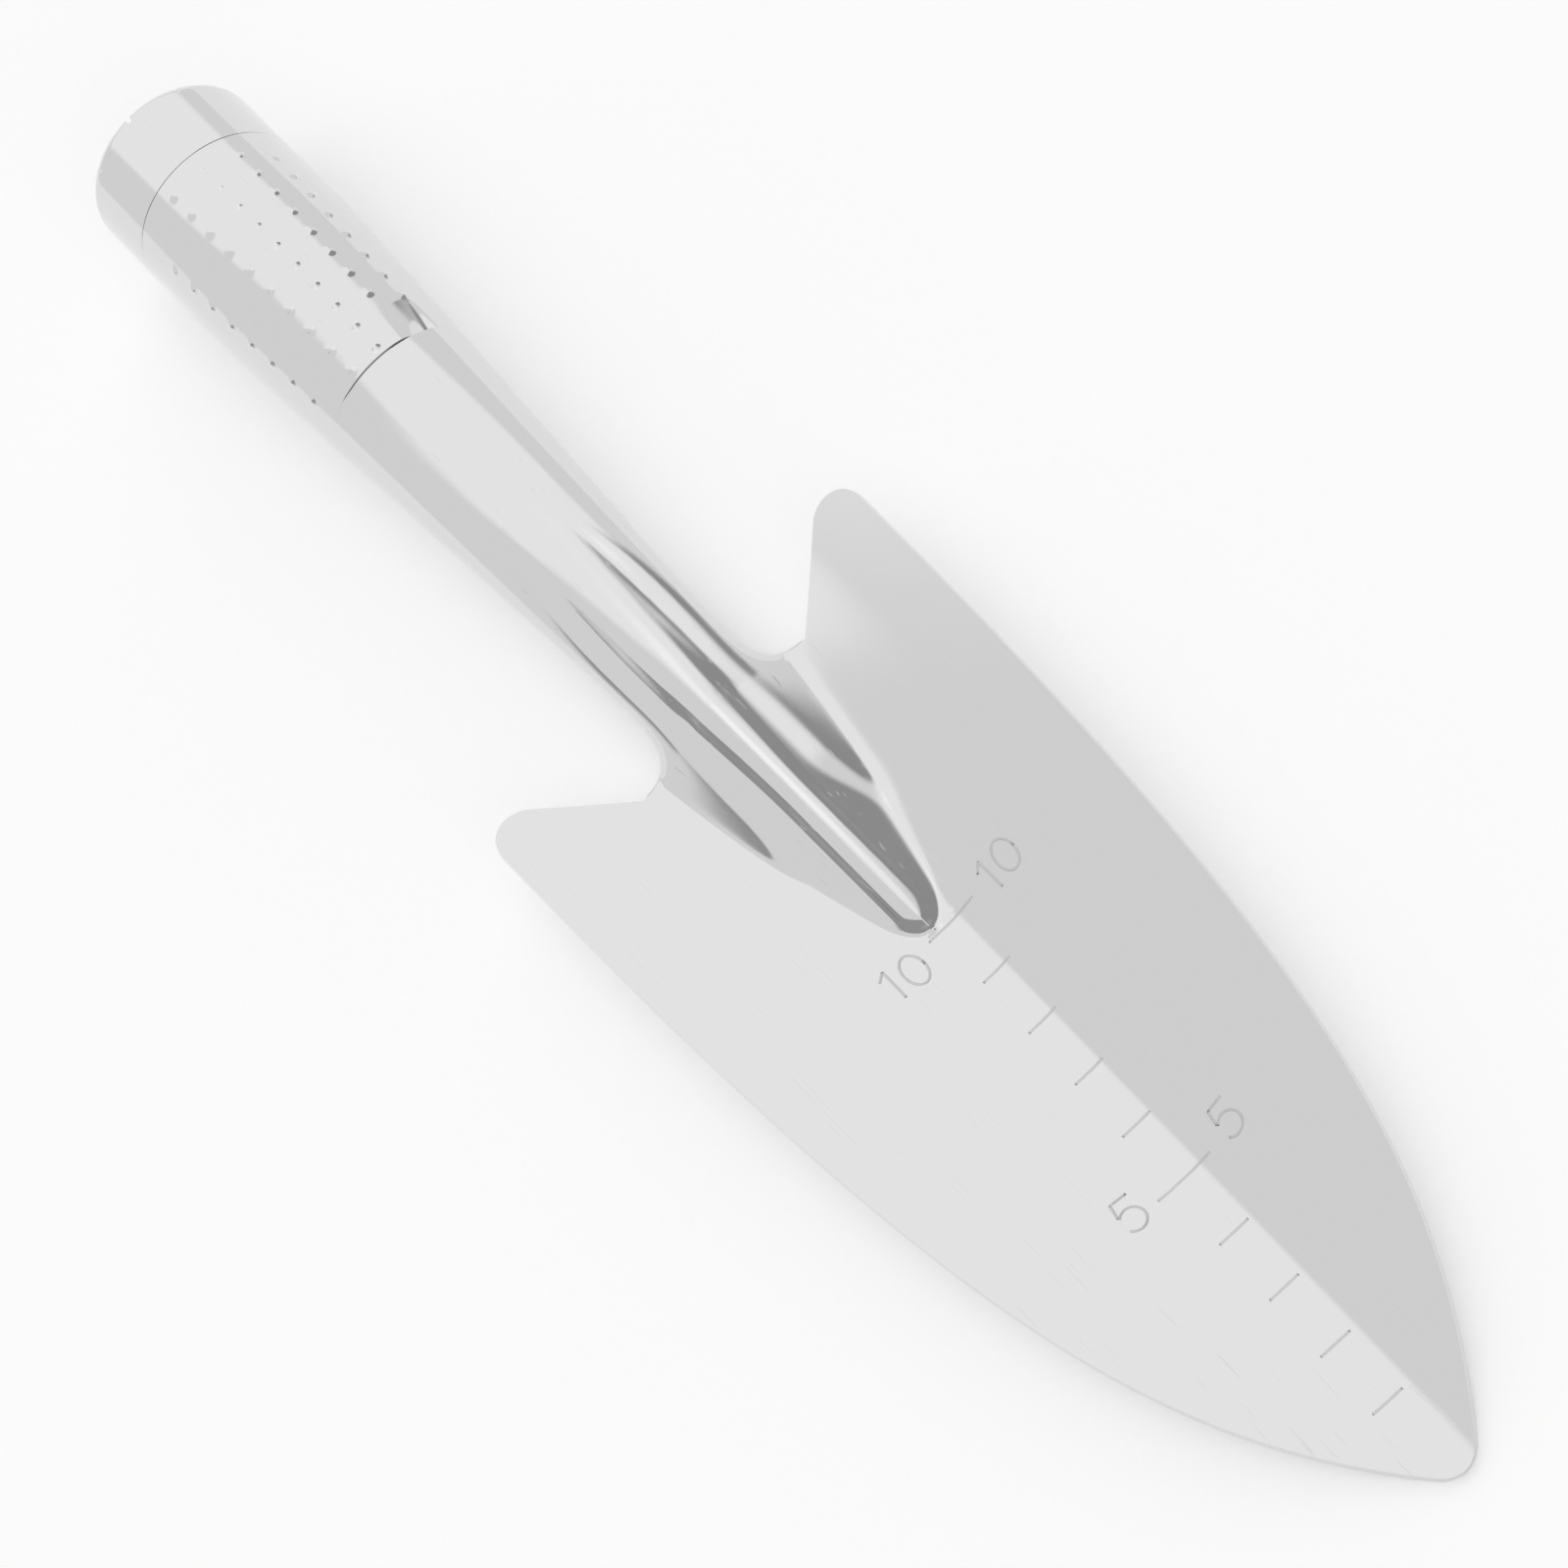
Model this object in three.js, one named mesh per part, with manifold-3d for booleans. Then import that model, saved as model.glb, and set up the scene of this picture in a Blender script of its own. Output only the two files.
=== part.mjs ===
// Hand transplanter: a garden scoop pressed and rolled from one sheet of stainless steel.
// The blade is a pointed trough with swept-back ears. A ribbed tongue runs out of it into the neck,
// whose walls turn down and curl under until they meet as a closed, oval handle. Slits at the open
// end of the handle leave ten tabs, which are folded in over it.
//
// A station is a distance from the tip, along the tool. X runs from the handle to the tip, Y across
// the blade and Z up, out of the scoop. The keel and the underside of the handle lie on Z = 0.
import * as THREE from "three";
import { mergeVertices } from "three/addons/utils/BufferGeometryUtils.js";
import Module from "manifold-3d";

// Driving dimensions, in millimetres and radians.
const SHEET = 1.2;
const GAP = 0.3;

const BLADE_LENGTH = 159.5;
const BLADE_WIDTH = 70.9;
const TIP_RADIUS = 3.9;
const TIP_ANGLE = THREE.MathUtils.degToRad(40.8);
const WING_ANGLE = THREE.MathUtils.degToRad(18);
const KEEL_WIDTH = 2.4;
const KEEL_RADIUS = 11.6;
const EAR_ANGLE = THREE.MathUtils.degToRad(50.2);
const EAR_RADIUS = 4.3;
const ROOT_WIDTH = 32.2;
const ROOT_FILLET = 2.2;

const TONGUE_LENGTH = 44.8;
const TONGUE_WIDTH = 25.6;
const TONGUE_RISE = 0.19;
const TONGUE_STEP = 1.0;
const RIB_WIDTH = 5.2;
const RIB_HEIGHT = 1.5;

const NECK_LENGTH = 74.7;
const NECK_WIDTH = 17.6;
const NECK_WRAP = THREE.MathUtils.degToRad(120);
const NECK_SQUARENESS = 0.62;

const HANDLE_WIDTH = 29.2;
const HANDLE_DEPTH = 30.3;
const HANDLE_TAPER = 96;
const GRIP_LENGTH = 47.6;
const BAND_LENGTH = 15.2;
const SEAM_GAP = 1.5;

const TAB_COUNT = 10;
const TAB_LENGTH = 8;
const FOLD_RADIUS = 2.5;
const SLIT_ANGLE = THREE.MathUtils.degToRad(3.2);

// The round corner of an ear, and the point where it runs into the ear's straight rear edge.
const EAR_CENTRE = new THREE.Vector2(BLADE_LENGTH - EAR_RADIUS, BLADE_WIDTH / 2 - EAR_RADIUS);
const EAR_END = new THREE.Vector2(
  EAR_CENTRE.x + EAR_RADIUS * Math.sin(EAR_ANGLE),
  EAR_CENTRE.y - EAR_RADIUS * Math.cos(EAR_ANGLE),
);

// Stations that follow from the driving dimensions.
const ROOT = EAR_END.x - (EAR_END.y - ROOT_WIDTH / 2) / Math.tan(EAR_ANGLE);
const NOSE = ROOT - TONGUE_LENGTH;
const GRIP_START = ROOT + NECK_LENGTH;
const BAND_START = GRIP_START + GRIP_LENGTH;
const TOOL_LENGTH = BAND_START + BAND_LENGTH;

const wasm = await Module();
wasm.setup();

const { clamp, lerp, smoothstep } = THREE.MathUtils;

// The larger and the smaller of two heights, with a fillet of about the given size where they cross.
const blendMax = (a, b, fillet) => (a + b + Math.hypot(a - b, fillet)) / 2;
const blendMin = (a, b, fillet) => (a + b - Math.hypot(a - b, fillet)) / 2;

// ---- The shape that the press gives the upper face ----

// Height of the trough at a distance from the centre line: flat keel, round bend, straight wing.
function troughHeight(y) {
  const across = Math.max(Math.abs(y) - KEEL_WIDTH / 2, 0);
  const bend = KEEL_RADIUS * Math.sin(WING_ANGLE);
  const rise = KEEL_RADIUS - Math.sqrt(KEEL_RADIUS ** 2 - Math.min(across, bend) ** 2);
  return SHEET + rise + Math.max(across - bend, 0) * Math.tan(WING_ANGLE);
}

// Half the width of the tongue: a pointed arch in plan, as wide as the neck's root at its back.
function tongueHalfWidth(station) {
  const along = Math.max(station - NOSE, 0) / TONGUE_LENGTH;
  return (TONGUE_WIDTH / 2) * along ** 0.43;
}

// Height of the tool's top line, without the rib: it climbs from the tongue's nose to the handle.
function crownHeight(station) {
  const climb = SHEET + TONGUE_STEP + TONGUE_RISE * (station - NOSE);
  return blendMin(climb, HANDLE_DEPTH, 3);
}

// Height that the rib adds at a point. It ends in a round nose, and fades out along the neck.
function ribRise(station, y) {
  const noseCentre = NOSE + RIB_WIDTH / 2;
  const away = Math.hypot(y, Math.max(noseCentre - station, 0)) / (RIB_WIDTH / 2);
  const fade = 1 - smoothstep(station, ROOT + 10, ROOT + 55);
  return RIB_HEIGHT * fade * (1 - away ** 2);
}

// Upper face of the blade: the trough with the tongue standing in it and the rib on the tongue.
function bladeHeight(station, y) {
  const trough = troughHeight(y);
  if (station < NOSE - 1) return trough;
  const half = Math.max(tongueHalfWidth(station), 0.5);
  const foot = troughHeight(half);
  const roofToLedge = lerp(1.1, 3, smoothstep(station, NOSE + 0.4 * TONGUE_LENGTH, ROOT));
  const share = Math.min((Math.abs(y) / half) ** roofToLedge, 4);
  const crown = crownHeight(station);
  const tongue = foot + (crown - foot) * (1 - share);
  const ribbed = blendMax(tongue, crown + ribRise(station, y), 0.3);
  return blendMax(trough, ribbed, 0.5);
}

// Half the width of the neck and handle.
function handleHalfWidth(station) {
  const start = ROOT + 9.6;
  const taper = (HANDLE_WIDTH - NECK_WIDTH) / 2 / HANDLE_TAPER;
  return blendMin(NECK_WIDTH / 2 + taper * (station - start), HANDLE_WIDTH / 2, 0.6);
}

// Cross-section of the neck and handle at an angle from its top: flat-topped at the neck, oval at
// the grip.
function sectionPoint(station, angle) {
  const halfWidth = handleHalfWidth(station);
  const halfDepth = crownHeight(station) / 2;
  const power = lerp(NECK_SQUARENESS, 1, smoothstep(station, ROOT + 15, GRIP_START + 15));
  const y = Math.sign(Math.sin(angle)) * halfWidth * Math.abs(Math.sin(angle)) ** power;
  const z = halfDepth + Math.sign(Math.cos(angle)) * halfDepth * Math.abs(Math.cos(angle)) ** power;
  return { y, z: z + Math.max(ribRise(station, y), 0) * Math.max(Math.cos(angle), 0) };
}

// How far round the section the sheet reaches on each side: a channel at the neck, and all the way
// to the seam under the handle.
function wrapAngle(station) {
  const closed = Math.PI - SEAM_GAP / 2 / handleHalfWidth(station);
  return lerp(NECK_WRAP, closed, smoothstep(station, ROOT + 12, GRIP_START - 15));
}

// Half the width of the strip that the blade hands on to the neck, along the edge of the notch.
function stripHalfWidth(station) {
  const flare = (ROOT_WIDTH - NECK_WIDTH) / 2;
  return NECK_WIDTH / 2 + flare * Math.exp(-(station - ROOT) / ROOT_FILLET);
}

// Upper face of the neck and handle. The share runs from -1 at one edge of the sheet to 1 at the
// other.
function handleFace(station, share) {
  const y = share * stripHalfWidth(station);
  const section = sectionPoint(station, share * wrapAngle(station));
  const rolled = smoothstep(station, ROOT + 1.5, ROOT + 12);
  return new THREE.Vector3(
    -station,
    lerp(y, section.y, rolled),
    lerp(bladeHeight(station, y), section.z, rolled),
  );
}

const bladeFace = (station, y) => new THREE.Vector3(-station, y, bladeHeight(station, y));

// Outer face of an end tab: round the fold, then straight across the open end of the handle.
function tabFace(reach, angle) {
  const bend = clamp(reach / FOLD_RADIUS, 0, Math.PI / 2);
  const straight = Math.max(reach - (FOLD_RADIUS * Math.PI) / 2, 0);
  const inset = FOLD_RADIUS * (1 - Math.cos(bend)) + straight;
  const foldStart = TOOL_LENGTH - FOLD_RADIUS;
  const rim = sectionPoint(foldStart, angle);
  const inward = new THREE.Vector2(-rim.y, crownHeight(foldStart) / 2 - rim.z).normalize();
  return new THREE.Vector3(
    -(foldStart + FOLD_RADIUS * Math.sin(bend)),
    rim.y + inset * inward.x,
    rim.z + inset * inward.y,
  );
}

// ---- Making solids ----

// A flat rectangular blank pressed to a face, with the sheet's thickness on the face's under side.
function pressedSheet(face, [from, to], [left, right], rows, columns) {
  const geometry = new THREE.BoxGeometry(1, 1, 1, rows, columns, 1);
  const position = geometry.getAttribute("position");
  const step = 1e-3;
  for (let i = 0; i < position.count; i += 1) {
    const u = lerp(from, to, position.getX(i) + 0.5);
    const v = lerp(left, right, position.getY(i) + 0.5);
    const point = face(u, v);
    if (position.getZ(i) < 0) {
      const along = face(u + step, v).sub(face(u - step, v));
      const across = face(u, v + step).sub(face(u, v - step));
      const outward = new THREE.Vector3().crossVectors(across, along).normalize();
      point.addScaledVector(outward, -SHEET);
    }
    position.setXYZ(i, point.x, point.y, point.z);
  }
  // Stations run against X, so the blank's faces are turned to face outwards again.
  const index = geometry.index.array;
  for (let i = 0; i < index.length; i += 3) [index[i], index[i + 1]] = [index[i + 1], index[i]];
  return welded(geometry);
}

function welded(geometry) {
  geometry.deleteAttribute("normal");
  geometry.deleteAttribute("uv");
  return mergeVertices(geometry, 1e-4);
}

const toSolid = (geometry) =>
  new wasm.Manifold(
    new wasm.Mesh({
      numProp: 3,
      vertProperties: new Float32Array(geometry.getAttribute("position").array),
      triVerts: new Uint32Array(geometry.index.array),
    }),
  );

function toGeometry(solid) {
  const mesh = solid.getMesh();
  const geometry = new THREE.BufferGeometry();
  geometry.setAttribute("position", new THREE.BufferAttribute(mesh.vertProperties, 3));
  geometry.setIndex(new THREE.BufferAttribute(mesh.triVerts, 1));
  geometry.computeVertexNormals();
  return geometry;
}

// A cutter: a plan outline taken up through the whole height of the sheet.
function planCutter(shape, curveSegments) {
  const height = 3 * HANDLE_DEPTH;
  const geometry = new THREE.ExtrudeGeometry(shape, { depth: height, bevelEnabled: false, curveSegments });
  geometry.translate(0, 0, -HANDLE_DEPTH);
  return toSolid(welded(geometry));
}

// ---- Plan outlines, drawn with X = -station ----

// The blade from the tip to its root: round tip, curved sides, ears with round corners, notches.
function bladeOutline() {
  const half = BLADE_WIDTH / 2;
  const arcEnd = new THREE.Vector2(TIP_RADIUS * (1 - Math.sin(TIP_ANGLE)), TIP_RADIUS * Math.cos(TIP_ANGLE));
  const tipPull = 0.203 * BLADE_LENGTH;
  const earPull = 0.633 * BLADE_LENGTH;
  const earTurn = 1.5 * Math.PI - EAR_ANGLE;
  const shape = new THREE.Shape();
  shape.moveTo(-ROOT, -ROOT_WIDTH / 2);
  shape.lineTo(-EAR_END.x, -EAR_END.y);
  shape.absarc(-EAR_CENTRE.x, -EAR_CENTRE.y, EAR_RADIUS, -earTurn, -Math.PI / 2);
  shape.bezierCurveTo(
    earPull - EAR_CENTRE.x, -0.94 * half,
    -arcEnd.x - tipPull * Math.cos(TIP_ANGLE), -arcEnd.y - tipPull * Math.sin(TIP_ANGLE),
    -arcEnd.x, -arcEnd.y,
  );
  shape.absarc(-TIP_RADIUS, 0, TIP_RADIUS, TIP_ANGLE - Math.PI / 2, Math.PI / 2 - TIP_ANGLE);
  shape.bezierCurveTo(
    -arcEnd.x - tipPull * Math.cos(TIP_ANGLE), arcEnd.y + tipPull * Math.sin(TIP_ANGLE),
    earPull - EAR_CENTRE.x, 0.94 * half,
    -EAR_CENTRE.x, half,
  );
  shape.absarc(-EAR_CENTRE.x, EAR_CENTRE.y, EAR_RADIUS, Math.PI / 2, earTurn);
  shape.lineTo(-ROOT, ROOT_WIDTH / 2);
  shape.closePath();
  return shape;
}

// The tongue, drawn larger or smaller all round by an offset.
function tongueOutline(offset) {
  const steps = 20;
  const side = [];
  for (let i = 1; i <= steps; i += 1) {
    const station = NOSE + TONGUE_LENGTH * (i / steps) ** 2;
    side.push(new THREE.Vector2(-station, tongueHalfWidth(station) + offset));
  }
  side.push(new THREE.Vector2(-ROOT - 5, TONGUE_WIDTH / 2 + offset));
  const nose = new THREE.Vector2(-NOSE + offset, 0);
  const mirrored = side.map((p) => new THREE.Vector2(p.x, -p.y)).reverse();
  return new THREE.Shape([...mirrored, nose, ...side]);
}

// ---- The regions of the sheet ----

const tool = new THREE.Group();
tool.position.x = TOOL_LENGTH / 2;

function addRegion(name, geometry) {
  const polished = new THREE.MeshStandardMaterial({ color: 0xd4d5d6, roughness: 0.12, metalness: 1 });
  const mesh = new THREE.Mesh(geometry, polished);
  mesh.name = name;
  geometry.computeVertexNormals();
  tool.add(mesh);
}

function addBlade() {
  const margin = 2;
  const stations = [-margin, BLADE_LENGTH + margin];
  const sides = [-BLADE_WIDTH / 2 - margin, BLADE_WIDTH / 2 + margin];
  const sheet = toSolid(pressedSheet(bladeFace, stations, sides, 40, 27));
  const outline = planCutter(bladeOutline(), 10);
  const slot = planCutter(tongueOutline(GAP / 2), 1);
  addRegion("blade", toGeometry(sheet.intersect(outline).subtract(slot)));
}

function addTongue() {
  const margin = 1.5;
  const side = TONGUE_WIDTH / 2 + margin;
  const sheet = toSolid(pressedSheet(bladeFace, [NOSE - margin, ROOT], [-side, side], 18, 24));
  const outline = planCutter(tongueOutline(-GAP / 2), 1);
  addRegion("blade_tongue", toGeometry(sheet.intersect(outline)));
}

const addTube = (name, from, to, rows) =>
  addRegion(name, pressedSheet(handleFace, [from, to], [-1, 1], rows, 36));

function addTabs() {
  const seam = wrapAngle(TOOL_LENGTH - FOLD_RADIUS);
  const pitch = (2 * seam) / TAB_COUNT;
  for (let i = 0; i < TAB_COUNT; i += 1) {
    const start = -seam + i * pitch + SLIT_ANGLE / 2;
    const angles = [start, start + pitch - SLIT_ANGLE];
    const reach = [GAP / 2, TAB_LENGTH + FOLD_RADIUS * (Math.PI / 2 - 1)];
    addRegion(`end_tab_${i + 1}`, pressedSheet(tabFace, reach, angles, 5, 3));
  }
}

addBlade();
addTongue();
addTube("neck", ROOT + GAP, GRIP_START - GAP / 2, 22);
addTube("grip", GRIP_START + GAP / 2, BAND_START - GAP / 2, 8);
addTube("end_band", BAND_START + GAP / 2, TOOL_LENGTH - FOLD_RADIUS - GAP / 2, 3);
addTabs();

export default tool;
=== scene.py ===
import math
from bisect import bisect_left

import bmesh
import bpy
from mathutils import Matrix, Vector


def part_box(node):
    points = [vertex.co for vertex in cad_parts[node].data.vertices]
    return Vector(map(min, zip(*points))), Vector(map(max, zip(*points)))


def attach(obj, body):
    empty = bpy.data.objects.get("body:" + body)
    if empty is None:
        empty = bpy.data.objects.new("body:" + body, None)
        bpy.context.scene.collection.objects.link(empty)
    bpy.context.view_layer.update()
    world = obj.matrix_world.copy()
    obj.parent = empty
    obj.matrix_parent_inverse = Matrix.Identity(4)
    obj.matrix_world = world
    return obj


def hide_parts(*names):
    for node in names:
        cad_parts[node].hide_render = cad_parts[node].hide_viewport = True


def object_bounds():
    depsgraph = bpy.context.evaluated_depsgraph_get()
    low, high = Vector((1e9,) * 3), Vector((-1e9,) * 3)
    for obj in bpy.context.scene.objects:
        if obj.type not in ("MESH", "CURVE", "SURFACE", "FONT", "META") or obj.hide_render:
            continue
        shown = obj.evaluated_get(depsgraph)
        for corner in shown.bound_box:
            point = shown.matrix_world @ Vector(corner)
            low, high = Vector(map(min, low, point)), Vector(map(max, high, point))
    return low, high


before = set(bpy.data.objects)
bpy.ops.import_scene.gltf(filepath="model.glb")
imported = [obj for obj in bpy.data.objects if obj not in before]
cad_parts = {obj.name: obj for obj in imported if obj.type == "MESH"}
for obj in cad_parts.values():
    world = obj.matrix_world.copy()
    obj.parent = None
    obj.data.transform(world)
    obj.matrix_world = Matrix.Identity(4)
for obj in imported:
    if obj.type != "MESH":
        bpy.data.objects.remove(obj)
cad_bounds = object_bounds()

# ---- Blade, tongue and neck ----
# The front of the sheet, pressed in one stroke: a shallow trough with swept-back ears, the raised
# tongue with its stiffening rib, and the neck whose two walls curl down and under. Places along
# the tool are stations, in millimetres from the tip; the sheet has no seam between its regions.
mm = 0.001
sheet_thickness = 1.2
cad_gap = 0.3

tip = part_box("blade")[1].x / mm
blade_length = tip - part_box("blade")[0].x / mm
blade_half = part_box("blade")[1].y / mm
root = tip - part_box("neck")[1].x / mm - cad_gap
grip_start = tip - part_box("grip")[1].x / mm - cad_gap / 2

# The blade. A pair named stretch is (from, to), counted backwards from the root, the nose or the
# grip's front edge, and a shape comes in or fades out along it.
tip_radius = 3.9
tip_angle = math.radians(40.8)
tip_fullness = 0.203
keel_half = 1.2
keel_radius = 11.6
wing_angle = math.radians(18)
ear_radius = 4.3
ear_angle = math.radians(50.2)
ear_fullness = (0.633, 0.94)
root_half = 16.1
root_lift = 0.5
lift_stretch = (-22, 6)
lift_spread = (12, 26)

# The tongue. Its ledges start further out near the nose than at the rear.
tongue_length = 43.7
tongue_half = 12.8
tongue_bluntness = 0.43
tongue_rise = 0.183
tongue_step = 1.3
narrowest_half = 0.5
nose = root - tongue_length
roof_slope = 0.42
ridge_round = 1.9
ledge_slope = 0.21
ledge_places = (8, 4.3)
ledge_stretch = (13, 30)
ledge_fillet = 0.8
wall_slope = 0.75
wall_fillet = 0.6
foot_fillets = (0.5, 0.9)
foot_stretch = (4, 20)
foot_reach = 1

# The rib, narrower on the tongue than on the neck.
rib_halves = (3.0, 4.4)
rib_stretch = (-20, 15)
rib_flank = 1.3
rib_height = 0.5

# The neck. It starts square-shouldered and open, and ends round and closed.
neck_half = 8.8
neck_wrap = math.radians(120)
neck_squareness = 0.62
rounding_delay = 15
closing_start = 12
closing_end = -15
fade_stretch = (10, 50)
shoulder_fillet = 0.4
shoulder_lift = 0.6
roll_length = 3.4
roll_spread = 2.5
roll_sharpness = 1.15
panel_recess = 0.35
panel_middle = 10
panel_edges = (30, 46)
panel_stretch = (-34, 0)

# The handle's tube, which the neck grows into.
handle_half = 14.6
handle_depth = 30.3
handle_taper = 96
taper_start = 9.6
taper_fillet = 0.6
climb_fillet = 3
seam_half = 0.75


def lerp(a, b, share):
    return a + (b - a) * share


def smoothstep(value, low, high):
    share = min(max((value - low) / (high - low), 0), 1)
    return share * share * (3 - 2 * share)


def passed(station, origin, stretch):
    """0 before a stretch, 1 past it, and smooth between; its ends count back from the origin."""
    return smoothstep(station, origin + stretch[0], origin + stretch[1])


def blend_max(a, b, fillet):
    """The larger of two heights, with a fillet of about that size where they cross."""
    return (a + b + math.hypot(a - b, fillet)) / 2


def blend_min(a, b, fillet):
    """The smaller of two heights, with the same fillet."""
    return (a + b - math.hypot(a - b, fillet)) / 2


def trough_height(y):
    """Flat keel, round bend, straight wing."""
    across = max(abs(y) - keel_half, 0)
    bend = keel_radius * math.sin(wing_angle)
    rise = keel_radius - math.sqrt(keel_radius**2 - min(across, bend) ** 2)
    return sheet_thickness + rise + max(across - bend, 0) * math.tan(wing_angle)


def tongue_half_width(station):
    return tongue_half * (max(station - nose, 0) / tongue_length) ** tongue_bluntness


def crown_height(station):
    """The tool's top line, without the rib."""
    climb = sheet_thickness + tongue_step + tongue_rise * (station - nose)
    return blend_min(climb, handle_depth, climb_fillet)


def rib_half(station):
    return lerp(*rib_halves, passed(station, root, rib_stretch))


def neck_fade(station):
    """How much of the tongue's roof and rib is left; both die out into the round tube."""
    return 1 - passed(station, root, fade_stretch)


def rib_rise(station, y):
    """The round rib along the top, blunt at its front end."""
    half = rib_half(station)
    away = math.hypot(y, max(nose + half - station, 0))
    return rib_height * neck_fade(station) * (1 - smoothstep(away, half - rib_flank, half))


def roof_height(station, y):
    """The roof slopes on both sides of the rib, with flatter ledges outside them."""
    beyond = abs(y) - lerp(*ledge_places, passed(station, nose, ledge_stretch))
    on_ledge = blend_max(beyond, 0, ledge_fillet)
    from_ridge = math.hypot(y, ridge_round) - ridge_round
    drop = roof_slope * from_ridge - (roof_slope - ledge_slope) * on_ledge
    return crown_height(station) - drop * neck_fade(station)


def bed_height(station, y):
    """The blade around the tongue, drawn up a little towards the notches at the root."""
    lift = root_lift * passed(station, root, lift_stretch)
    return trough_height(y) + lift * (1 - smoothstep(abs(y), *lift_spread))


def blade_height(station, y):
    """The pressed face of the blade, with the tongue's roof and its steep walls standing on it."""
    bed = bed_height(station, y)
    if station < nose - foot_reach:
        return bed
    half = max(tongue_half_width(station), narrowest_half)
    roof = roof_height(station, y) + rib_rise(station, y)
    wall = bed_height(station, half) + wall_slope * (half - abs(y))
    foot_fillet = lerp(*foot_fillets, passed(station, nose, foot_stretch))
    return blend_max(bed, blend_min(roof, wall, wall_fillet), foot_fillet)


def handle_half_width(station):
    taper = (handle_half - neck_half) / handle_taper
    return blend_min(neck_half + taper * (station - root - taper_start), handle_half, taper_fillet)


def section_point(station, angle):
    """(y, z) on the tube's outside at an angle from its top: square at the neck, oval at the grip."""
    half_width = handle_half_width(station)
    half_depth = crown_height(station) / 2
    rounded = smoothstep(station, root + rounding_delay, grip_start + rounding_delay)
    power = 2 / lerp(neck_squareness, 1, rounded)
    across = abs(math.sin(angle)) / half_width
    upward = abs(math.cos(angle)) / half_depth
    radius = (across**power + upward**power) ** (-1 / power)
    y = radius * math.sin(angle)
    z = half_depth + radius * math.cos(angle)
    fillet = shoulder_fillet * neck_fade(station)
    if fillet == 0 or z < half_depth:
        return y, z
    roof = roof_height(station, y) + shoulder_lift * fillet
    return y, blend_min(z, roof, fillet) + rib_rise(station, y)


def wrap_angle(station):
    """How far round the section the sheet reaches on each side: a channel, then a tube."""
    closed = math.pi - seam_half / handle_half_width(station)
    closing = smoothstep(station, root + closing_start, grip_start + closing_end)
    return lerp(neck_wrap, closed, closing)


def neck_point(station, share):
    """The outside of the neck; the share runs from -1 at one edge of the sheet to 1 at the other."""
    flat_y = share * root_half
    angle = share * wrap_angle(station)
    y, z = section_point(station, angle)
    panel = 1 - smoothstep(abs(math.degrees(angle) - panel_middle), *panel_edges)
    z -= panel_recess * panel * passed(station, grip_start, panel_stretch)
    travel = (station - root) / (roll_length * lerp(roll_spread, 1, abs(share)))
    rolled = 1 - math.exp(-(travel**roll_sharpness))
    return Vector(
        (
            tip - station,
            lerp(flat_y, y, rolled),
            lerp(blade_height(station, flat_y), z, rolled),
        )
    )


def stretches(*stops):
    """Even steps between stops, given as (start, step) pairs and the end."""
    values = [stops[0][0]]
    for (start, step), following in zip(stops, stops[1:]):
        end = following[0] if isinstance(following, tuple) else following
        count = round((end - start) / step)
        values += [lerp(start, end, (i + 1) / count) for i in range(count)]
    return values


# The blade's side edge: the tip's arc, one long curve, and the ear's round corner. The curve is
# pulled towards two points, whose fullness is a share of the blade's length and half width.
ear_centre = Vector((blade_length - ear_radius, blade_half - ear_radius))
arc_end = Vector((tip_radius * (1 - math.sin(tip_angle)), tip_radius * math.cos(tip_angle)))
tip_heading = Vector((math.cos(tip_angle), math.sin(tip_angle)))
tip_pull = arc_end + tip_fullness * blade_length * tip_heading
ear_pull = Vector((ear_centre.x - ear_fullness[0] * blade_length, ear_fullness[1] * blade_half))
ear_top = Vector((ear_centre.x, blade_half))
side_steps = 400
ear_steps = 80
side_edge = []
for i in range(side_steps + 1):
    t = i / side_steps
    a, b, c = arc_end.lerp(tip_pull, t), tip_pull.lerp(ear_pull, t), ear_pull.lerp(ear_top, t)
    side_edge.append(a.lerp(b, t).lerp(b.lerp(c, t), t))
for i in range(1, ear_steps + 1):
    turn = (math.pi - ear_angle) * i / ear_steps
    side_edge.append(ear_centre + ear_radius * Vector((math.sin(turn), math.cos(turn))))
edge_run = [0.0]
for before, after in zip(side_edge, side_edge[1:]):
    edge_run.append(edge_run[-1] + (after - before).length)


def edge_point(share):
    """The point at a share of the way along the side edge, from the tip round the ear to the root."""
    run = share * edge_run[-1]
    i = min(max(bisect_left(edge_run, run), 1), len(edge_run) - 1)
    part = (run - edge_run[i - 1]) / (edge_run[i] - edge_run[i - 1])
    return side_edge[i - 1].lerp(side_edge[i], part)


# The sheet's mesh: rows across it, closest at the nose, and columns along it. A finer strip down the
# middle holds the tongue, closest over its walls, and goes on as the neck.
row_bow = 25
strip_half = 4.0
strip_limit = 0.62
wing_steps = 26
wing_crowding = 1.3
blade_rows = stretches((0, 0.9), (nose - 5, 0.3), (nose + 5, 0.45), root)
neck_rows = stretches((root, 0.45), (root + 14, 0.7), grip_start)
rows = blade_rows + neck_rows[1:]
strip_columns = stretches((0, 0.025), (0.72, 0.0125), (0.86, 0.02), 1)
wing_columns = [(i / wing_steps) ** wing_crowding for i in range(wing_steps + 1)]
half_columns = len(strip_columns) + len(wing_columns) - 2
last_strip = len(strip_columns) - 1
last_blade = len(blade_rows) - 1


def strip_width(half):
    """A width that follows the tongue's, but never falls under the strip's own."""
    return (half**4 + strip_half**4) ** 0.25


def blade_strip(station, edge_half):
    """Half the width of the finer middle columns, which follow the tongue's outline."""
    wide = root_half / strip_width(tongue_half) * strip_width(tongue_half_width(station))
    return min(wide, strip_limit * edge_half)


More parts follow.
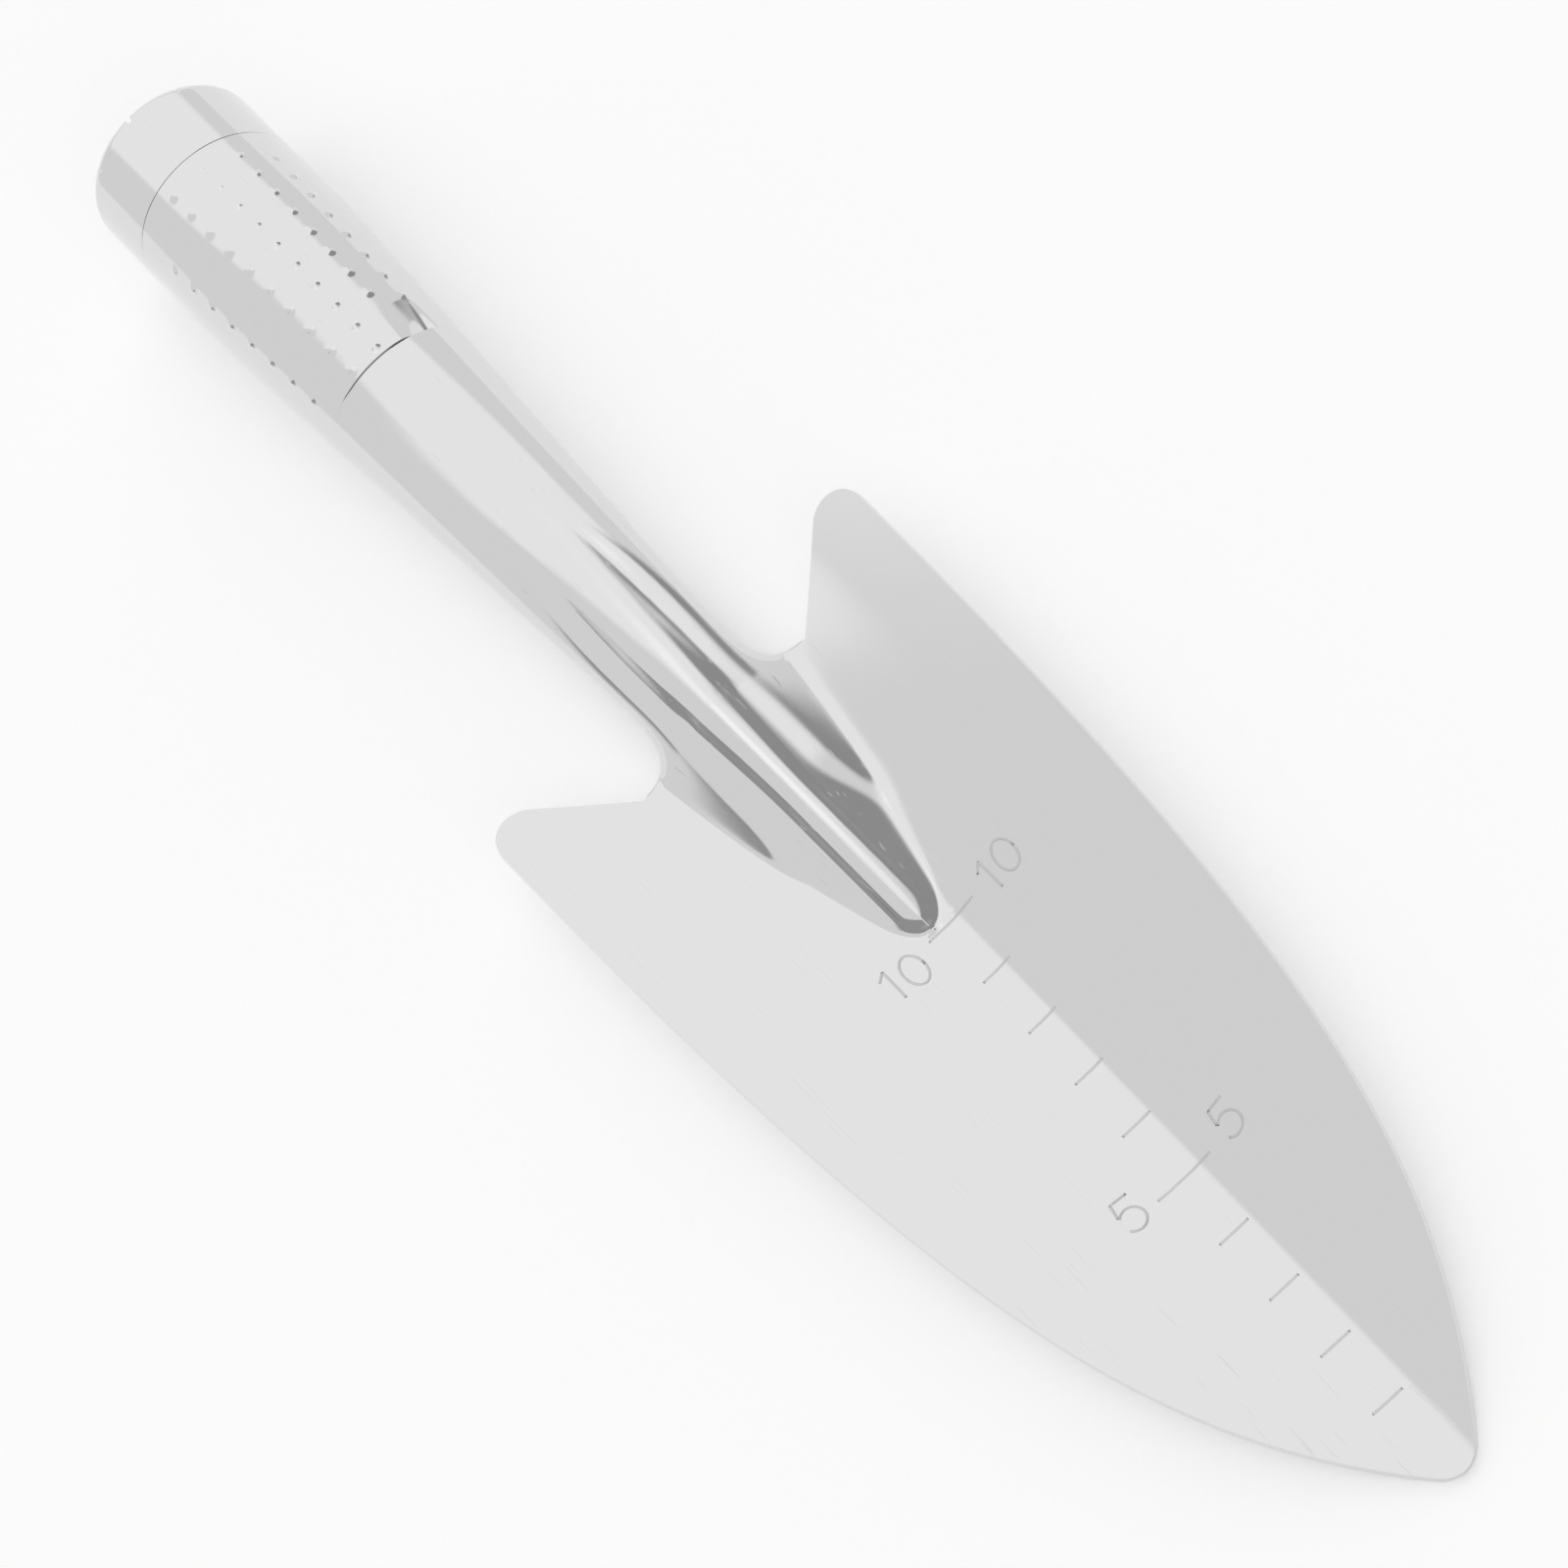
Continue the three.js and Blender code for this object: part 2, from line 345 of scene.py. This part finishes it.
def front_point(column, row):
    """A point of the pressed front; the blade's rows bow so that they end on its side edge."""
    station = rows[row]
    away = abs(column - half_columns)
    side = math.copysign(1, column - half_columns)
    if row > last_blade:
        return neck_point(station, side * strip_columns[min(away, last_strip)])
    edge = edge_point(station / root)
    strip = root_half if row == last_blade else blade_strip(station, edge.y)
    if away <= last_strip:
        y = strip * strip_columns[away]
    else:
        y = lerp(strip, edge.y, wing_columns[away - last_strip])
    share, strip_share = y / edge.y, strip / edge.y
    past_strip = max(share - strip_share, 0) / (1 - strip_share)
    bow = lerp(share**2, past_strip, smoothstep(station, root - row_bow, root))
    station = lerp(station, edge.x, bow)
    return Vector((tip - station, side * y, blade_height(station, y)))


def pressed_grid(columns, row_count, place, keep=None):
    """A flat grid, less the faces that keep() turns down, moved to place(column, row) in millimetres."""
    bm = bmesh.new()
    bmesh.ops.create_grid(bm, x_segments=columns, y_segments=row_count, size=0.5)
    if keep:
        lost = []
        for face in bm.faces:
            middle = face.calc_center_median()
            column, row = (middle.x + 0.5) * columns, (middle.y + 0.5) * row_count
            if not keep(int(column), int(row)):
                lost.append(face)
        bmesh.ops.delete(bm, geom=lost, context="FACES")
    for vert in bm.verts:
        column, row = round((vert.co.x + 0.5) * columns), round((vert.co.y + 0.5) * row_count)
        vert.co = place(column, row) * mm
    return bm


def new_object(name, bm, material):
    mesh = bpy.data.meshes.new(name)
    bm.to_mesh(mesh)
    bm.free()
    mesh.materials.append(material)
    made = bpy.data.objects.new(name, mesh)
    bpy.context.scene.collection.objects.link(made)
    return made


def add_piece(name, bm, material, thickness, edge_round):
    """A piece of sheet: its wall goes inwards from the pressed face, and its cut edges are eased."""
    piece = new_object(name, bm, material)
    piece.data.shade_smooth()
    wall = piece.modifiers.new("sheet", "SOLIDIFY")
    wall.thickness = thickness * mm
    wall.offset = -1
    wall.use_even_offset = True
    wall.use_quality_normals = True
    if edge_round:
        ease = piece.modifiers.new("eased edges", "BEVEL")
        ease.width = edge_round * mm
        ease.segments = 2
        ease.limit_method = "ANGLE"
        ease.angle_limit = math.radians(50)
        ease.harden_normals = True
    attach(piece, "root")
    return piece


def linear(code):
    """The linear colour of an sRGB hex value."""
    channels = [int(code[i : i + 2], 16) / 255 for i in (0, 2, 4)]
    return [c / 12.92 if c <= 0.04045 else ((c + 0.055) / 1.055) ** 2.4 for c in channels] + [1]


def add_node(tree, kind, settings, links):
    """A node with its properties and socket values set, and its inputs linked from other sockets."""
    node = tree.nodes.new(kind)
    for key, value in settings.items():
        if isinstance(key, str) and hasattr(node, key):
            setattr(node, key, value)
        else:
            node.inputs[key].default_value = value
    for key, socket in links.items():
        tree.links.new(socket, node.inputs[key])
    return node


def new_material(name):
    material = bpy.data.materials.new(name)
    material.use_nodes = True
    material.node_tree.nodes.clear()
    return material, material.node_tree


# Stainless steel sheet, buffed to a mirror after pressing. It shows the room almost sharply; the
# press leaves a faint waviness, and use leaves a soft haze in patches and a few hairline scratches.
# Pattern cells to the metre: press waves about 10 mm apart, haze in patches of about 17 mm, and
# hairlines 9 mm long in cells 0.4 mm wide.
wave_cells = 95
haze_cells = 60
hairline_cells = (110, 2600, 2600)
hairline_turn = 0.5
wave_height = 0.00001

mirror_stainless, tree = new_material("mirror_polished_stainless_sheet")
place = add_node(tree, "ShaderNodeTexCoord", {}, {}).outputs["Object"]
press_waves = add_node(tree, "ShaderNodeTexNoise", {"Scale": wave_cells, "Detail": 1}, {"Vector": place})
haze = add_node(tree, "ShaderNodeTexNoise", {"Scale": haze_cells, "Detail": 4}, {"Vector": place})
streak_space = add_node(
    tree,
    "ShaderNodeMapping",
    {"Rotation": (0, 0, hairline_turn), "Scale": hairline_cells},
    {"Vector": place},
)
streaks = add_node(
    tree, "ShaderNodeTexNoise", {"Scale": 1, "Detail": 0}, {"Vector": streak_space.outputs["Vector"]}
)
scratch = add_node(
    tree,
    "ShaderNodeMapRange",
    {"From Min": 0.76, "From Max": 0.80},
    {"Value": streaks.outputs["Fac"]},
)
haze_roughness = add_node(
    tree,
    "ShaderNodeMapRange",
    {"From Min": 0.45, "From Max": 0.75, "To Min": 0.05, "To Max": 0.11},
    {"Value": haze.outputs["Fac"]},
)
roughness = add_node(
    tree,
    "ShaderNodeMath",
    {"operation": "MULTIPLY_ADD", 1: 0.15},
    {0: scratch.outputs["Result"], 2: haze_roughness.outputs["Result"]},
)
waves = add_node(
    tree,
    "ShaderNodeBump",
    {"Strength": 1, "Distance": wave_height},
    {"Height": press_waves.outputs["Fac"]},
)
steel = add_node(
    tree,
    "ShaderNodeBsdfPrincipled",
    {"Base Color": linear("DEDEDE"), "Metallic": 1},
    {"Roughness": roughness.outputs[0], "Normal": waves.outputs["Normal"]},
)
add_node(tree, "ShaderNodeOutputMaterial", {}, {"Surface": steel.outputs["BSDF"]})

front = pressed_grid(
    2 * half_columns,
    len(rows) - 1,
    front_point,
    lambda column, row: row < last_blade or abs(column + 0.5 - half_columns) < last_strip,
)
pressed_front = add_piece(
    "blade_tongue_and_neck", front, mirror_stainless, sheet_thickness, edge_round=0.25
)
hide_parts("blade", "blade_tongue", "neck")

# ---- Dimpled grip ----
# The part of the tube that the hand closes on, rolled round until its edges almost meet under the
# handle. Rows of small dimples are raised from inside, and its front edge stands a little proud of
# the flat panel on the neck, with one corner kicked in by the press.
band_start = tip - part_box("end_band")[1].x / mm - cad_gap / 2
dimple_radius = 1.0
dimple_height = 0.27
dimple_pitch = 4.75

# The kicked-in corner: its first angle from the top of the handle, the degrees that it takes up,
# and where in them it is deepest.
kick_from = 27
kick_across = 32
kick_deepest = 0.8
kick_length = 7.0
kick_depth = 1.1

# Each row: its angle from the top of the handle, the station of its last dimple, and how many.
dimple_rows = [
    (-142, 264, 8),
    (-100, 262, 8),
    (-51, 261.7, 8),
    (-12, 267.3, 10),
    (11, 267.3, 10),
    (34, 265.9, 8),
    (55, 263.6, 8),
    (100, 262, 8),
    (142, 264, 8),
]


def kick(station, angle):
    """Depth of the kicked-in corner at the front of the grip."""
    across = (math.degrees(angle) - kick_from) / kick_across
    along = (station - grip_start) / kick_length
    hollow = smoothstep(across, 0, kick_deepest) * (1 - smoothstep(across, kick_deepest, 1))
    return kick_depth * max(1 - along, 0) * hollow


def grip_outside(station, angle):
    """A point of the smooth tube, and the way out from it."""
    y, z = section_point(station, angle)
    axis = crown_height(station) / 2
    outward = Vector((0, y, z - axis)).normalized()
    return Vector((tip - station, y, z)), outward


dimples = []
for degrees, last, count in dimple_rows:
    for i in range(count):
        dimples.append(grip_outside(last - i * dimple_pitch, math.radians(degrees))[0])

grip_row_step = 0.36
grip_rows = stretches((grip_start, grip_row_step), band_start)
grip_columns = 256


def grip_point(column, row):
    station = grip_rows[row]
    angle = (2 * column / grip_columns - 1) * wrap_angle(station)
    point, outward = grip_outside(station, angle)
    rise = -kick(station, angle)
    for dimple in dimples:
        if abs(dimple.x - point.x) < dimple_radius:
            away = (dimple - point).length / dimple_radius
            if away < 1:
                rise += dimple_height * (1 + math.cos(math.pi * away)) / 2
    return point + rise * outward


grip = pressed_grid(grip_columns, len(grip_rows) - 1, grip_point)
dimpled_grip = add_piece(
    "dimpled_grip", grip, mirror_stainless, sheet_thickness, edge_round=0.12
)
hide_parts("grip")

# ---- End band and tabs ----
# The plain rear end of the tube, behind a fine rolled line. Slits in its edge leave ten tabs, and
# each is folded in over the open end, so that a small gap like a drop shows at each slit's root.
tool_length = tip - cad_bounds[0].x / mm
line_gap = 0.12
tab_count = 10
tab_length = 8
fold_radius = 2.5
fold_start = tool_length - fold_radius
fold_end = fold_radius * math.pi / 2

# The slits: half their width, the stretch of their rounded roots, and half of what is left closed.
slit_half = 0.42
slit_root = (-0.4, 1.2)
slit_shut = 0.02

# Reaches run along the sheet from the start of the fold: below 0 on the band, above it on a tab.
tab_columns = 13
band_reach = stretches((band_start + line_gap - fold_start, 0.8), 0)
fold_reach = stretches((0, 0.3), (fold_end, 0.7), tab_length + fold_radius * (math.pi / 2 - 1))
reaches = band_reach + fold_reach[1:]
first_fold = len(band_reach) - 1


def fold_bend(reach):
    return min(max(reach, 0) / fold_radius, math.pi / 2)


def fold_inset(reach):
    """How far in from the tube's outside a tab has come."""
    return fold_radius * (1 - math.cos(fold_bend(reach))) + max(reach - fold_end, 0)


def band_point(reach, angle):
    """The band's outside, then round the fold and straight in towards the axis."""
    if reach <= 0:
        return grip_outside(fold_start + reach, angle)[0]
    rim, outward = grip_outside(fold_start, angle)
    backwards = fold_radius * math.sin(fold_bend(reach))
    return rim - fold_inset(reach) * outward - Vector((backwards, 0, 0))


def end_point(column, row):
    """A point of the band or a tab; one column in each group is the slit between two tabs."""
    reach = reaches[row]
    tab, part = divmod(column, tab_columns + 1)
    seam = wrap_angle(fold_start)
    pitch = 2 * seam / tab_count
    opening = slit_half * smoothstep(reach, *slit_root) + slit_shut
    slit = opening / (handle_half - fold_inset(reach))
    angle = -seam + tab * pitch + slit + (pitch - 2 * slit) * part / tab_columns
    return band_point(reach, angle)


end_columns = tab_count * (tab_columns + 1) - 1
end = pressed_grid(
    end_columns,
    len(reaches) - 1,
    end_point,
    lambda column, row: row < first_fold or column % (tab_columns + 1) != tab_columns,
)
end_band = add_piece(
    "end_band_and_tabs", end, mirror_stainless, sheet_thickness, edge_round=0.12
)
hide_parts("end_band", *[f"end_tab_{i + 1}" for i in range(tab_count)])

# ---- Depth scale ----
# Centimetre marks and the numbers 5 and 10, struck lightly into the blade so that the depth of a
# hole can be read from either side. A struck line is a hair's breadth wide, between two fine burrs.
line_width = 0.36
line_wall = 0.06
line_lift = 0.004
burr_height = 0.025
line_profile = [0, 0.6, 1, 0.1, 0.1, 1, 0.6, 0]
stroke_step = 0.4

# The scale's zero lies just behind the tip, and its middle leans a little across the blade. Half
# the length of a plain mark comes first, then of the numbered ones; the last one clears the tongue.
scale_zero = 3.0
mark_pitch = 10
mark_count = 10
scale_lean = 0.0405
scale_offset = -1.45
mark_half = 2.5
numbered_half = {5: 4.6, 10: 4.3}
nose_clearance = 0.9

# Each number: its text, and the station and y of the foot of its first figure.
numbers = (("5", 51.2, 8.1), ("5", 51.6, -9.5), ("10", 100.0, 9.6), ("10", 98.8, -10.2))
figure_pitch = 2.9
grain_cells = 4000

# Stainless steel raised in a fine burr by the stamp, with a grain of a quarter of a millimetre. It
# is duller than the polished sheet, and its darker colour is painted shade standing for the shade
# in the struck groove, so that a line shows as a thin grey stroke.
struck_steel_painted_shade, tree = new_material("struck_stainless_line_painted_shade")
place = add_node(tree, "ShaderNodeTexCoord", {}, {}).outputs["Object"]
grain = add_node(tree, "ShaderNodeTexNoise", {"Scale": grain_cells, "Detail": 2}, {"Vector": place})
burr = add_node(
    tree, "ShaderNodeBump", {"Strength": 0.4, "Distance": 0.00002}, {"Height": grain.outputs["Fac"]}
)
steel = add_node(
    tree,
    "ShaderNodeBsdfPrincipled",
    {"Base Color": linear("CCCCCC"), "Metallic": 1, "Roughness": 0.3},
    {"Normal": burr.outputs["Normal"]},
)
add_node(tree, "ShaderNodeOutputMaterial", {}, {"Surface": steel.outputs["BSDF"]})


def straight(start, end):
    steps = max(round((Vector(end) - Vector(start)).length / stroke_step), 2)
    return [Vector(start).lerp(Vector(end), i / steps) for i in range(steps + 1)]


def arc(centre, across, along, start, end, steps=28):
    """Part of an oval, from one angle to another; across and along are its half widths."""
    station, y = centre
    turns = [math.radians(lerp(start, end, i / steps)) for i in range(steps + 1)]
    return [Vector((station + along * math.sin(a), y + across * math.cos(a))) for a in turns]


# The strokes of each figure, as (station, y) from the foot of its left side.
figures = {
    "1": [straight((4.1, 0), (5.3, 1.3)), straight((5.3, 1.3), (0, 1.3))],
    "0": [arc((2.6, 1.7), 1.65, 2.6, 0, 360)],
    "5": [
        straight((5.2, 3.3), (5.2, 0.7)),
        straight((5.2, 0.7), (3.0, 0.3)),
        arc((1.75, 1.75), 1.75, 1.75, 142, -142),
    ],
}
strokes = []
for mark in range(1, mark_count + 1):
    station = min(scale_zero + mark_pitch * mark, nose - nose_clearance)
    half = numbered_half.get(mark, mark_half)
    middle = scale_offset + scale_lean * station
    ends = [(station - side * half * scale_lean, middle + side * half) for side in (-1, 1)]
    strokes.append(straight(*ends))
for text, station, y in numbers:
    for figure in text:
        foot = Vector((station, y))
        strokes += [[foot + point for point in stroke] for stroke in figures[figure]]
        y += figure_pitch

scale = bmesh.new()
for stroke in strokes:
    count = len(stroke) - 1
    columns = len(line_profile) - 1
    made = bmesh.ops.create_grid(scale, x_segments=columns, y_segments=count, size=0.5)
    for vert in made["verts"]:
        column, row = round((vert.co.x + 0.5) * columns), round((vert.co.y + 0.5) * count)
        heading = (stroke[min(row + 1, count)] - stroke[max(row - 1, 0)]).normalized()
        sideways = Vector((-heading.y, heading.x))
        point = stroke[row] + sideways * line_width * (column / columns - 0.5)
        height = blade_height(point.x, point.y) + line_lift + burr_height * line_profile[column]
        vert.co = Vector((tip - point.x, point.y, height)) * mm
bmesh.ops.recalc_face_normals(scale, faces=scale.faces)
for face in scale.faces:
    if face.normal.z < 0:
        face.normal_flip()
# The strokes stand just proud of the blade; the groove's shade is painted into their darker steel.
add_piece("depth_scale", scale, struck_steel_painted_shade, line_wall, edge_round=0)

# ---- Studio ----
# A pale matt board under the tool, and an even, bright room around it: a wide soft box over the
# handle, a small one overhead, and unlit sides beside and behind the camera.
floor_half = 1.5
tooth_cells = 900

# White card with a fine tooth of about a millimetre, which scatters light and shows no reflection.
# A little glow of its own stands for the light that an evenly lit table gets from all sides.
floor_material, tree = new_material("pale_matt_board")
place = add_node(tree, "ShaderNodeTexCoord", {}, {}).outputs["Object"]
tooth = add_node(tree, "ShaderNodeTexNoise", {"Scale": tooth_cells, "Detail": 3}, {"Vector": place})
bump = add_node(
    tree, "ShaderNodeBump", {"Strength": 0.1, "Distance": 0.0001}, {"Height": tooth.outputs["Fac"]}
)
board = add_node(
    tree,
    "ShaderNodeBsdfPrincipled",
    {
        "Base Color": linear("F6F6F6"),
        "Roughness": 0.9,
        "Emission Color": linear("FFFFFF"),
        "Emission Strength": 0.25,
    },
    {"Normal": bump.outputs["Normal"]},
)
add_node(tree, "ShaderNodeOutputMaterial", {}, {"Surface": board.outputs["BSDF"]})

ground = bmesh.new()
bmesh.ops.create_grid(ground, x_segments=1, y_segments=1, size=floor_half)
floor = new_object("floor", ground, floor_material)

world = bpy.data.worlds.new("studio room")
world.use_nodes = True
tree = world.node_tree
tree.nodes.clear()
direction = add_node(tree, "ShaderNodeTexCoord", {}, {}).outputs["Generated"]
axes = add_node(tree, "ShaderNodeSeparateXYZ", {}, {"Vector": direction})


def ramp(value, low, high, change):
    """A smooth rise from 0 to the change as the value goes from low to high."""
    limits = {"interpolation_type": "SMOOTHSTEP", "From Min": low, "From Max": high, "To Max": change}
    return add_node(tree, "ShaderNodeMapRange", limits, {"Value": value}).outputs[0]


def towards(azimuth, elevation, inner, outer, change):
    """A round patch of room: its change within the inner angle, fading out at the outer one."""
    a, e = math.radians(azimuth), math.radians(elevation)
    middle = (math.cos(e) * math.cos(a), math.cos(e) * math.sin(a), math.sin(e))
    facing = add_node(
        tree, "ShaderNodeVectorMath", {"operation": "DOT_PRODUCT", 1: middle}, {0: direction}
    )
    limits = [math.cos(math.radians(angle)) for angle in (outer, inner)]
    return ramp(facing.outputs["Value"], *limits, change)


def maths(operation, a, b):
    """One sum or product, of sockets or numbers."""
    settings = {"operation": operation}
    links = {}
    for i, value in enumerate((a, b)):
        (settings if isinstance(value, (int, float)) else links)[i] = value
    return add_node(tree, "ShaderNodeMath", settings, links).outputs[0]


# The unlit sides: where they begin in front and beside, how much their front edge leans, and how
# much of their darkness is left at the horizon and below it.
dark_front = (-0.362, -0.31)
dark_lean = -0.12
dark_beside = (0.25, 0.45)
dark_rise = (0, 0.3)
horizon_share = 0.5


def dark_side(side, low, high, change):
    """The unlit room beside and behind the camera, on one side, up to a height."""
    leaning = maths("MULTIPLY", axes.outputs["Z"], dark_lean)
    ahead = ramp(maths("ADD", axes.outputs["X"], leaning), *dark_front, 1)
    beside = ramp(maths("MULTIPLY", axes.outputs["Y"], side), *dark_beside, 1)
    below = ramp(maths("MULTIPLY", axes.outputs["Z"], -1), -high, -low, 1)
    darker = ramp(axes.outputs["Z"], *dark_rise, 1 - horizon_share)
    depth = maths("MULTIPLY", maths("ADD", darker, horizon_share), change)
    return maths("MULTIPLY", maths("MULTIPLY", ahead, beside), maths("MULTIPLY", below, depth))


brightness = 0.84
for patch in (
    towards(azimuth=167, elevation=42, inner=36.5, outer=41, change=0.2),
    towards(azimuth=80, elevation=84, inner=9, outer=17, change=0.22),
    dark_side(side=1, low=0.8, high=0.9, change=-0.5),
    dark_side(side=-1, low=0.63, high=0.7, change=-0.48),
):
    brightness = maths("ADD", brightness, patch)
room = add_node(tree, "ShaderNodeBackground", {"Color": (1, 1, 1, 1)}, {"Strength": brightness})
add_node(tree, "ShaderNodeOutputWorld", {}, {"Surface": room.outputs["Background"]})
bpy.context.scene.world = world
bpy.context.scene.view_settings.view_transform = "Standard"

# The camera looks down on the blade from beyond the tip, with the tool lying across the view.
camera_data = bpy.data.cameras.new("camera")
camera_data.sensor_width = 36
camera_data.lens = 90.6
camera = bpy.data.objects.new("camera", camera_data)
camera.location = ((tip + 137.96) * mm, 10.95 * mm, 479.99 * mm)
camera.rotation_euler = (math.radians(21.27), math.radians(21.477), math.radians(49.144))
bpy.context.scene.collection.objects.link(camera)
bpy.context.scene.camera = camera
